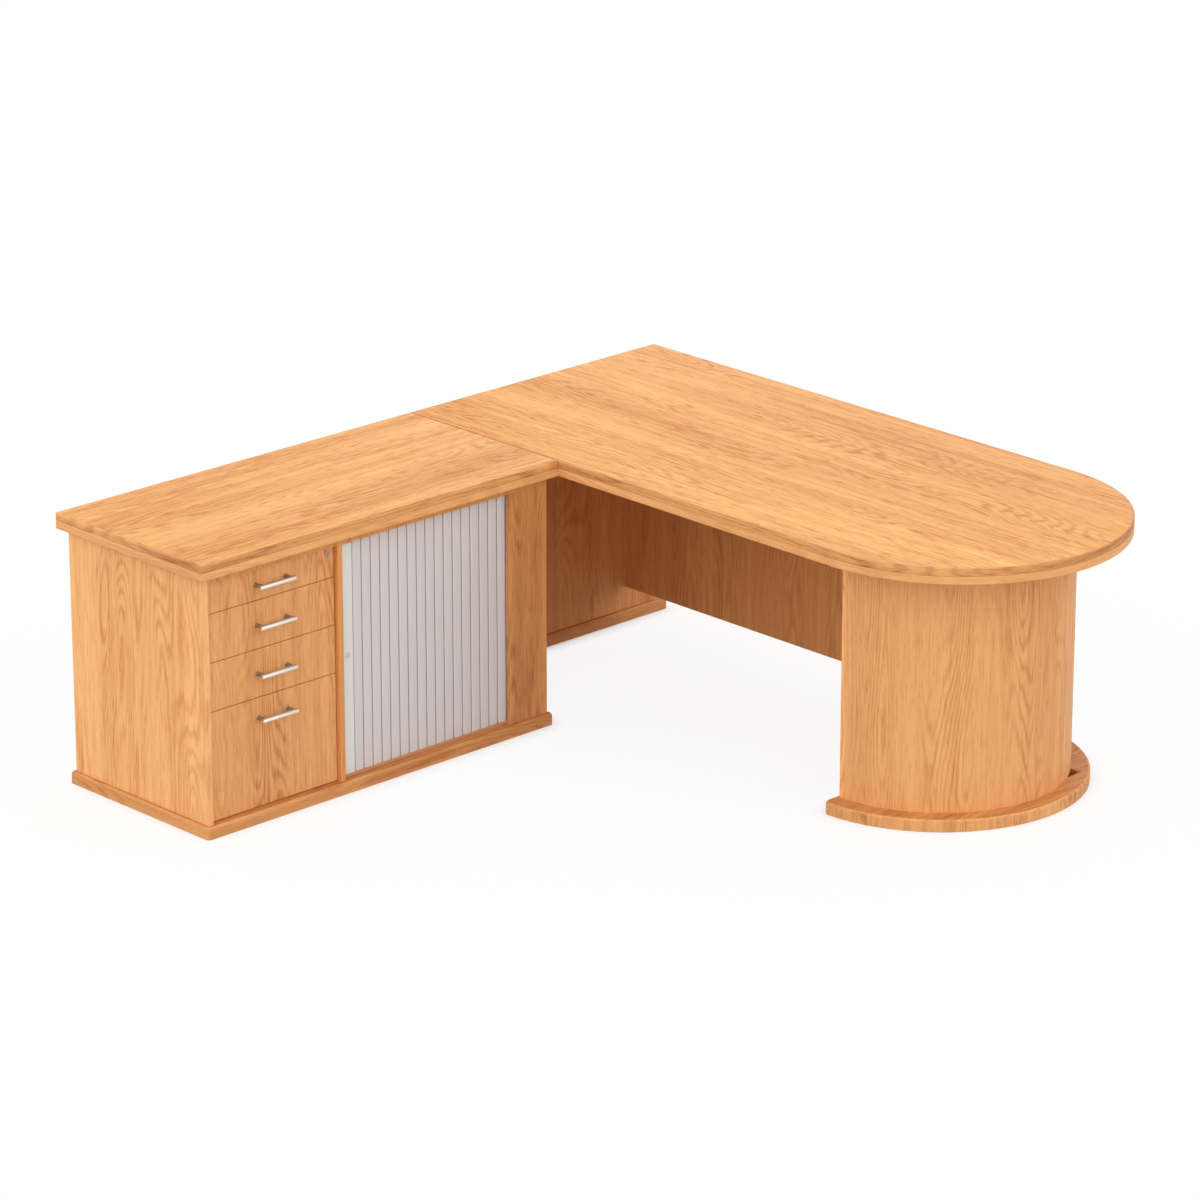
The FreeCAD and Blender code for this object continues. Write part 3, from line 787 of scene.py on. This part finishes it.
@dataclass
class Worktop:
    """One worktop of two glued boards.

    Attributes:
        prefix: Start of its node names.
        outline: Its plan shape.
        grain: Which way its grain runs.
        butted: Where its outline butts on the other worktop, as a start and an end in sides.
        seam: Gap left at its far end, where the other worktop starts.
        edge_round: Rounding of the outer edges.
        joint_round: Rounding of the edges where the two boards meet.
        corner_steps: Points across one rounding.
        side_steps: Points along one of the outline's five sides.
        cut_start: Where in the figure the boards are cut from.
        cut_rise: How much further on a board is cut for each metre that it lies higher.
        cut_under: How much further on its underside is cut.
    """

    prefix: str
    outline: Outline
    grain: GrainAxis
    butted: tuple[float, float]
    seam: float = 0.0
    edge_round: float = 0.003
    joint_round: float = 0.002
    corner_steps: int = 6
    side_steps: int = 97
    cut_start: float = 3.0
    cut_rise: float = 10.0
    cut_under: float = 5.0

    def build(self) -> list[bpy.types.Object]:
        """Build and dress the upper and the lower board."""
        return [self._board(upper) for upper in (True, False)]

    def _rim(self, low: np.ndarray, high: np.ndarray, inset: np.ndarray) -> np.ndarray:
        """Plan places round the board, for each inset from its edge.

        Two sides run along the near edge and round to the middle of the right end. Two more are
        their mirror image in the board's middle line, and the straight left end is the fifth.

        Args:
            low: The board's lowest corner.
            high: The board's highest corner.
            inset: Distances in from the edge.

        Returns:
            Plan places with axes for outline step, inset and coordinate.
        """
        middle = (low[1] + high[1]) / 2
        half = (high[1] - low[1]) / 2 - inset
        share = np.linspace(0.0, 1.0, self.side_steps)[:, None]
        start = low[0] + inset
        if self.outline is Outline.ROUND_END:
            stop = high[0] - (high[1] - low[1]) / 2
            angle = share[1:] * math.pi / 2
            end_x, end_y = stop + half * np.sin(angle), half * np.cos(angle)
        else:
            stop = high[0] - inset
            end_y = half * (1 - share[1:])
            end_x = np.broadcast_to(stop, end_y.shape)
        along = start + share * (stop - start)
        x = np.concatenate([along, end_x])
        y = np.concatenate([np.broadcast_to(half, along.shape), end_y])
        near = np.stack([x, middle - y], -1)
        far = np.stack([x, middle + y], -1)[::-1]
        left = far[-1] + share[1:, :, None] * (near[0] - far[-1])
        return np.concatenate([near, far[1:], left])

    def _profile(self, low: float, high: float, lower_round: float, upper_round: float) -> np.ndarray:
        """The board's edge from below to above: a quarter circle, a flat and a quarter circle.

        Args:
            low: The underside's height.
            high: The upper side's height.
            lower_round: Radius of the lower quarter circle.
            upper_round: Radius of the upper one.

        Returns:
            Rows of inset and height.
        """
        lower = rounding(lower_round, self.corner_steps) + [0.0, low]
        upper = rounding(upper_round, self.corner_steps)[:, ::-1] * [1, -1] + [0.0, high]
        return np.concatenate([lower, upper])

    def _board(self, upper: bool) -> bpy.types.Object:
        """One board: its rounded rim and its two flat faces.

        Args:
            upper: Whether it is the upper one.

        Returns:
            The piece.
        """
        node = f"{self.prefix}_{'upper' if upper else 'lower'}"
        low, high = node_box(node)
        high[1] -= self.seam
        rounds = (self.joint_round, self.edge_round) if upper else (self.edge_round, self.joint_round)
        profile = self._profile(low[2], high[2], *rounds)
        plan = self._rim(low, high, profile[:, 0])
        heights = np.broadcast_to(profile[:, 1], plan.shape[:2])
        points = np.concatenate([plan, heights[..., None]], -1)
        cut = self.cut_start + low[2] * self.cut_rise
        faces = [self._flat(points[:, -1], cut), self._flat(points[:, 0], cut + self.cut_under)]
        patches = [*self._edging(points, cut), *faces]
        rim_finish = UPPER_EDGE_OAK if upper else LOWER_EDGE_OAK
        finishes = (TOP_OAK, rim_finish, SEAM_OAK)
        piece = build_piece(f"{node}_board", patches, [f.material() for f in finishes])
        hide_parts(node)
        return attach(piece, "desk")

    def _edging(self, points: np.ndarray, cut: float) -> list[Patch]:
        """The rim in lengths, of which the one that butts on the other worktop is dark.

        Its map is the length along the outline and the length over the profile.

        Args:
            points: The rim's places.
            cut: Where in the figure the rim is cut from.

        Returns:
            A patch for each length.
        """
        runs = []
        for line in (points[:, -1], points[0]):
            steps = np.linalg.norm(np.diff(line, axis=0), axis=1)
            runs.append(np.concatenate([[0.0], np.cumsum(steps)]))
        flat = np.stack(np.meshgrid(*runs, indexing="ij"), -1) + cut
        first, last = (round(place * (self.side_steps - 1)) for place in self.butted)
        lengths = [
            (0, first, BoardSide.RIM),
            (first, last, BoardSide.SEAM),
            (last, len(points) - 1, BoardSide.RIM),
        ]
        return [Patch(points[a:b + 1], flat[a:b + 1], side.value) for a, b, side in lengths if b > a]

    def _flat(self, edge: np.ndarray, cut: float) -> Patch:
        """A flat face: straight rulings between the near half of an edge and the far half.

        Args:
            edge: The closed edge, near half first and left end last.
            cut: Where in the figure the face is cut from.

        Returns:
            The face's patch.
        """
        left_start = len(edge) - (self.side_steps - 1)
        count = (left_start + 1) // 2
        near, far = edge[:count], edge[left_start - count:left_start][::-1]
        points = np.stack([near, far], 1)
        order = [0, 1] if self.grain is GrainAxis.ALONG_X else [1, 0]
        return Patch(points, points[..., order] + cut, BoardSide.FACE.value)


@dataclass
class CurvedLeg:
    """The bent panel of the rounded leg.

    Attributes:
        node: The CAD node it stands for.
        thickness: The panel's thickness.
        steps: Points round the bend.
        cut: Where in the figure the panel is cut from.
    """

    node: str = "d_leg_curved_panel"
    thickness: float = 0.012
    steps: int = 129
    cut: float = 11.0

    def build(self) -> bpy.types.Object:
        """Build and dress the panel.

        A rectangle of the panel's thickness and height is carried round nearly half a circle. Both
        skins end in the same flat plane, against the inner panel.

        Returns:
            The piece.
        """
        low, high = node_box(self.node)
        centre_y = (low[1] + high[1]) / 2
        half = (high[1] - low[1]) / 2
        depth = high[0] - low[0]
        # the flat plane is a chord of the circle, as long as the panel is wide
        radius = (half**2 + depth**2) / (2 * depth)
        centre_x = high[0] - radius
        radii = np.array([radius, radius, radius - self.thickness, radius - self.thickness, radius])
        heights = np.array([low[2], high[2], high[2], low[2], low[2]])
        reach = np.arccos((low[0] - centre_x) / radii)
        angle = np.linspace(-1.0, 1.0, self.steps)[:, None] * reach[None, :]
        x = centre_x + radii * np.cos(angle)
        y = centre_y + radii * np.sin(angle)
        points = np.stack([x, y, np.broadcast_to(heights, x.shape)], -1)
        grain = np.stack([points[..., 2], angle * radii], -1) + self.cut
        # an end's corners in two rows: the outer skin's and the inner skin's
        rows = np.array([[0, 1], [3, 2]])
        ends = [Patch(points[end][rows], grain[end][rows]) for end in (0, -1)]
        piece = build_piece("d_leg_curved_skin", [Patch(points, grain), *ends], [LEG_OAK.material()])
        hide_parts(self.node)
        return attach(piece, "desk")


@dataclass
class BarHandle:
    """A drawer's bar handle: a bar with softened ends on two posts.

    Attributes:
        drawer: The drawer's number.
        bar_radius: Half the bar's diameter.
        end_round: Rounding of the bar's ends.
        post_radius: Half a post's diameter.
        post_spacing: Distance between the posts.
        foot_radius: Half the diameter of a post's foot.
        foot_height: How far the foot's flare reaches.
        painted_shade_end: Angle round the bar where its plain front starts, 0 being straight ahead.
        painted_shade_start: Angle where its front ends and the painted shade on its upper side starts.
        steps: Points round a section.
        round_steps: Points across a rounding or a flare.
    """

    drawer: int
    bar_radius: float = 0.006
    end_round: float = 0.0012
    post_radius: float = 0.0055
    post_spacing: float = 0.096
    foot_radius: float = 0.0066
    foot_height: float = 0.0016
    painted_shade_end: float = -2.7
    painted_shade_start: float = 0.5
    steps: int = 32
    round_steps: int = 5

    def build(self) -> list[bpy.types.Object]:
        """Build and dress the bar and the posts.

        Returns:
            The two pieces.
        """
        node = f"drawer_{self.drawer}_handle"
        low, high = node_box(node)
        axis_x = high[0] - self.bar_radius
        middle = (low + high) / 2
        place = np.array([axis_x, 0.0, middle[2]])
        profile = self._bar_profile(low[1], high[1])
        # the bar's front in plain nickel, its upper side in a darker copy as painted shade
        bars = [
            self._turned(profile, place, Axis.Y, (self.painted_shade_end, self.painted_shade_start), 0),
            self._turned(profile, place, Axis.Y, (self.painted_shade_start, self.painted_shade_end + math.tau), 1),
        ]
        posts = []
        for side in (-0.5, 0.5):
            place = np.array([0.0, middle[1] + side * self.post_spacing, middle[2]])
            posts.append(self._turned(self._post_profile(low[0], axis_x), place, Axis.X))
        bar_piece = build_piece(f"{node}_bar", bars, [NICKEL.material(), PAINTED_SHADE_NICKEL.material()])
        post_piece = build_piece(f"{node}_posts", posts, [PAINTED_SHADE_POST_NICKEL.material()])
        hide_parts(node)
        for piece in (bar_piece, post_piece):
            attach(piece, f"drawer_{self.drawer}")
        return [bar_piece, post_piece]

    def _bar_profile(self, start: float, end: float) -> np.ndarray:
        """The bar's half section: an end face, a quarter circle, the bar, and the same back.

        Args:
            start: Where the bar starts along its axis.
            end: Where it ends.

        Returns:
            Rows of place along the axis and radius.
        """
        edge = rounding(self.end_round, self.round_steps)[:, ::-1]
        first = edge * [1, -1] + [start, self.bar_radius]
        last = ([end, self.bar_radius] - edge)[::-1]
        return np.concatenate([[[start, 0.0]], first, last, [[end, 0.0]]])

    def _post_profile(self, start: float, end: float) -> np.ndarray:
        """A post's half section: a flared foot on the drawer front and a plain shank.

        Args:
            start: The drawer front's face.
            end: The bar's axis.

        Returns:
            Rows of place along the axis and radius.
        """
        share = np.linspace(0.0, 1.0, self.round_steps)
        flare = self.foot_radius - (self.foot_radius - self.post_radius) * np.sin(share * math.pi / 2)
        foot = np.stack([start + share * self.foot_height, flare], 1)
        return np.concatenate([[[start, 0.0]], foot, [[end, self.post_radius], [end, 0.0]]])

    def _turned(self, profile: np.ndarray, place: np.ndarray, axis: Axis,
                span: tuple[float, float] = (0.0, math.tau), finish: int = 0) -> Patch:
        """A half section turned about an axis: radius times cosine and sine of the turn.

        Args:
            profile: Rows of place along the axis and radius.
            place: A point on the axis.
            axis: The axis that it is turned about.
            span: The turn's first and last angle.
            finish: Which of the piece's finishes it takes.

        Returns:
            The turned surface.
        """
        turn = np.linspace(*span, self.steps + 1)
        out = profile[:, 1][:, None]
        along = np.broadcast_to(profile[:, 0][:, None], (len(profile), self.steps + 1))
        parts = [out * np.cos(turn), out * np.sin(turn)]
        parts.insert(axis.value, along - place[axis.value])
        points = np.stack(parts, -1) + place
        return Patch(points, points[..., [0, 1]], finish)


@dataclass
class ShutterCurtain:
    """The roller shutter's curtain of upright slats, standing side by side.

    Attributes:
        node: The CAD node it stands for.
        slats: How many slats it has.
        pitch: Distance from slat to slat.
        gap: Width of the groove between two slats.
        face_round: Rounding of a slat's front edges.
        crown: How far the middle of a slat's face stands out.
        gathered: Width of the whole curtain when it is pushed fully back; not used.
        anchor: Where along Y the curtain is gathered to; not used.
        corner_steps: Points across one rounding.
        face_steps: Points across a slat's face.
    """

    node: str = "shutter_slats"
    slats: int = 18
    pitch: float = 0.031
    gap: float = 0.0024
    face_round: float = 0.0022
    crown: float = 0.0003
    gathered: float = 0.039
    anchor: float = 0.034
    corner_steps: int = 4
    face_steps: int = 7

    def build(self) -> bpy.types.Object:
        """Build and dress the curtain.

        Returns:
            The piece.
        """
        low, high = node_box(self.node)
        section = self._section(low, high)
        patches = []
        for number in range(self.slats):
            patches += self._slat(section + [0.0, number * self.pitch], low[2], high[2])
        piece = build_piece("shutter_curtain", patches, [SLAT_GREY.material(), GROOVE_PAINTED_SHADE_GREY.material()])
        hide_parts(self.node)
        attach(piece, "desk")
        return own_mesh(piece)

    def _section(self, low: np.ndarray, high: np.ndarray) -> np.ndarray:
        """The first slat's outline in plan: rounded, slightly crowned front and a flat back.

        Args:
            low: The curtain's lowest corner.
            high: The curtain's highest corner.

        Returns:
            Rows of X and Y, front first.
        """
        start, width = low[1], self.pitch - self.gap
        face, rear = high[0] - self.crown, low[0]
        edge = rounding(self.face_round, self.corner_steps)
        near = edge * [-1, 1] + [face, start]
        share = np.linspace(0.0, 1.0, self.face_steps)[1:-1]
        across = start + self.face_round + share * (width - 2 * self.face_round)
        crowned = np.stack([face + self.crown * np.sin(share * math.pi), across], 1)
        far = ([face, start + width] - edge)[::-1]
        back = np.array([[rear, start + width], [rear, start]])
        return np.concatenate([near, crowned, far, back])

    def _slat(self, section: np.ndarray, low: float, high: float) -> list[Patch]:
        """A slat: its section carried straight up, with painted shade on its sides in the grooves, and
        two ends.

        Args:
            section: Rows of X and Y, front first and the two rear corners last.
            low: Its lower end.
            high: Its upper end.

        Returns:
            The slat's front, far side, back, near side and ends.
        """
        ring = np.stack([np.insert(section, 2, level, axis=1) for level in (low, high)])
        ring = np.concatenate([ring, ring[:, :1]], 1)
        strips = [ring[:, :-3], ring[:, -4:-2], ring[:, -3:-1], ring[:, -2:]]
        # front and back take the first finish, the two sides the second one, a darker copy as painted
        # shade in the grooves
        patches = [Patch(p, p[..., [2, 1]], n % 2) for n, p in enumerate(strips)]
        return patches + [self._end(ring[0, :-1]), self._end(ring[1, :-1])]

    def _end(self, ring: np.ndarray) -> Patch:
        """A slat's flat end: rulings between the front and the back of its section.

        Args:
            ring: The section's places, front first and the two rear corners last.

        Returns:
            The end's patch.
        """
        front, back = ring[:-2], ring[-2:]
        share = (front[:, 1] - front[0, 1]) / (front[-1, 1] - front[0, 1])
        rear = back[1] + share[:, None] * (back[0] - back[1])
        points = np.stack([front, rear], 1)
        return Patch(points, points[..., [2, 1]])


@dataclass
class PlainNodes:
    """The CAD nodes, which keep their solids' own shapes where no piece stands for them.

    Attributes:
        nodes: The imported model's nodes by name.
    """

    nodes: dict[str, bpy.types.Object]

    def dress(self) -> None:
        """Put each node's finish on it."""
        for name, node in self.nodes.items():
            node.data.materials.clear()
            node.data.materials.append(self._finish_of(name).material())

    def _finish_of(self, name: str) -> Finish:
        """The finish for one node, by its name."""
        return next(f for f, names in NODE_FINISHES if any(fnmatchcase(name, n) for n in names))


@dataclass(frozen=True)
class Lamp:
    """A broad, soft, far lamp.

    Attributes:
        name: Its name.
        strength: Its strength.
        azimuth: Which side it comes from, in degrees round from the near side.
        height: Its height above the horizon, in degrees.
        spread: How wide it looks from the desk, in degrees.
    """

    name: str
    strength: float
    azimuth: float
    height: float
    spread: float

    def build(self) -> None:
        """Add the lamp to the scene."""
        data = bpy.data.lights.new(self.name, "SUN")
        data.energy = self.strength
        data.angle = math.radians(self.spread)
        lamp = placed(self.name, data)
        lamp.rotation_euler = (math.radians(90.0 - self.height), 0.0, math.radians(self.azimuth))


@dataclass
class Studio:
    """The pale floor, the soft light and the camera.

    Attributes:
        floor_half: Half the floor's width.
        floor_drop: How far the floor lies below the feet.
        floor_white: The floor's brightness where the camera sees it.
        floor_glow: How much of the floor's white doesn't depend on the shadow.
        floor_bounce: How much light the floor sends back onto the desk.
        contact_reach: How near a piece has to be to take the floor's own white away.
        contact_samples: How many rays look for such a piece.
        lamps: The broad lamps.
        ambient: The surrounding light's strength.
        camera_place: Where the camera stands.
        camera_azimuth: Which side it looks from, in degrees.
        camera_height: How far it looks down, in degrees.
        lens: Its focal length, in millimetres.
        sensor: Its picture's width, in millimetres.
        view_limit: How far it sees.
    """

    floor_half: float = 60.0
    floor_drop: float = 0.0005
    floor_white: float = 0.96
    floor_glow: float = 0.9
    floor_bounce: float = 0.5
    contact_reach: float = 0.05
    contact_samples: int = 8
    lamps: tuple[Lamp, ...] = (
        Lamp("key_lamp", 1.25, 20.0, 21.0, 90.0),
        Lamp("side_lamp", 0.75, 106.0, 14.0, 70.0),
    )
    ambient: float = 0.91
    camera_place: Triple = (9.4052, -9.1121, 5.1623)
    camera_azimuth: float = 46.2613
    camera_height: float = 19.6195
    lens: float = 164.913
    sensor: float = 36.0
    view_limit: float = 300.0

    def build(self) -> None:
        """Make the floor, the surrounding light, the lamps and the camera."""
        self._floor()
        self._surround()
        for lamp in self.lamps:
            lamp.build()
        self._camera()
        bpy.context.scene.view_settings.view_transform = "Standard"

    def _seen(self, tree: NodeTree) -> Socket:
        """1 for what the camera sees, straight or in a reflection, and 0 for bounced light.

        Args:
            tree: The shader's tree.

        Returns:
            The mask's socket.
        """
        path = tree.add("ShaderNodeLightPath").outputs
        seen = tree.math("MAXIMUM", path["Is Camera Ray"], path["Is Glossy Ray"])
        return tree.math("MAXIMUM", seen, path["Is Transmission Ray"])

    def _floor(self) -> None:
        """A wide pale floor, which looks white and sends back less light than it shows."""
        reach = np.array([-self.floor_half, self.floor_half])
        x, y = np.meshgrid(reach, reach, indexing="ij")
        points = np.stack([x, y, np.full_like(x, -self.floor_drop)], -1)
        material = bpy.data.materials.new("studio_floor")
        material.use_nodes = True
        tree = NodeTree(material.node_tree)
        shader = material.node_tree.nodes["Principled BSDF"]
        seen = self._seen(tree)
        colour = tree.blend(seen, grey(self.floor_bounce), grey(self.floor_white))
        tree.feed_all(shader, {"Base Color": colour, "Roughness": 1.0, "Specular IOR Level": 0.0})
        glow = tree.add("ShaderNodeEmission")
        mixed = tree.add("ShaderNodeMixShader")
        near = tree.add("ShaderNodeAmbientOcclusion", samples=self.contact_samples)
        near.inputs["Distance"].default_value = self.contact_reach
        white = tree.math("MULTIPLY", near.outputs["AO"], self.floor_glow)
        tree.feed(tree.math("MULTIPLY", seen, white), mixed.inputs["Fac"])
        tree.feed(shader.outputs[0], mixed.inputs[1])
        tree.feed(glow.outputs[0], mixed.inputs[2])
        tree.feed(mixed.outputs[0], material.node_tree.nodes["Material Output"].inputs["Surface"])
        floor = build_piece("studio_floor", [Patch(points, points[..., :2])], [material], closed=False)

    def _surround(self) -> None:
        """Even light from all round, which looks white where the camera sees it."""
        world = bpy.data.worlds.new("studio")
        bpy.context.scene.world = world
        world.use_nodes = True
        tree = NodeTree(world.node_tree)
        light = world.node_tree.nodes["Background"]
        strength = tree.ramp(self._seen(tree), 0.0, 1.0, self.ambient)
        tree.feed_all(light, {"Color": grey(1.0), "Strength": strength})

    def _camera(self) -> None:
        """The camera at the photograph's viewing angle."""
        data = bpy.data.cameras.new("camera")
        data.sensor_width = self.sensor
        data.lens = self.lens
        data.clip_end = self.view_limit
        camera = placed("camera", data)
        camera.location = self.camera_place
        camera.rotation_euler = (
            math.radians(90.0 - self.camera_height), 0.0, math.radians(self.camera_azimuth)
        )
        bpy.context.scene.camera = camera


def main() -> None:
    """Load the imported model, build each sub-assembly in order and report its pieces."""
    logging.basicConfig(level=logging.INFO, format="%(message)s")
    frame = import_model()
    PlainNodes(frame["nodes"]).dress()
    pieces = []
    pieces += Worktop("main_top", Outline.ROUND_END, GrainAxis.ALONG_X, butted=(0.0, 0.36)).build()
    pieces += Worktop(
        "return_top", Outline.STRAIGHT, GrainAxis.ALONG_Y, butted=(3.0, 4.0), seam=0.0012
    ).build()
    pieces.append(CurvedLeg().build())
    for drawer in range(1, DRAWERS + 1):
        pieces += BarHandle(drawer).build()
    pieces.append(ShutterCurtain().build())
    Studio().build()
    for piece in pieces:
        LOG.info("built %s with %d faces", piece.name, len(piece.data.polygons))


if __name__ == "__main__":
    main()
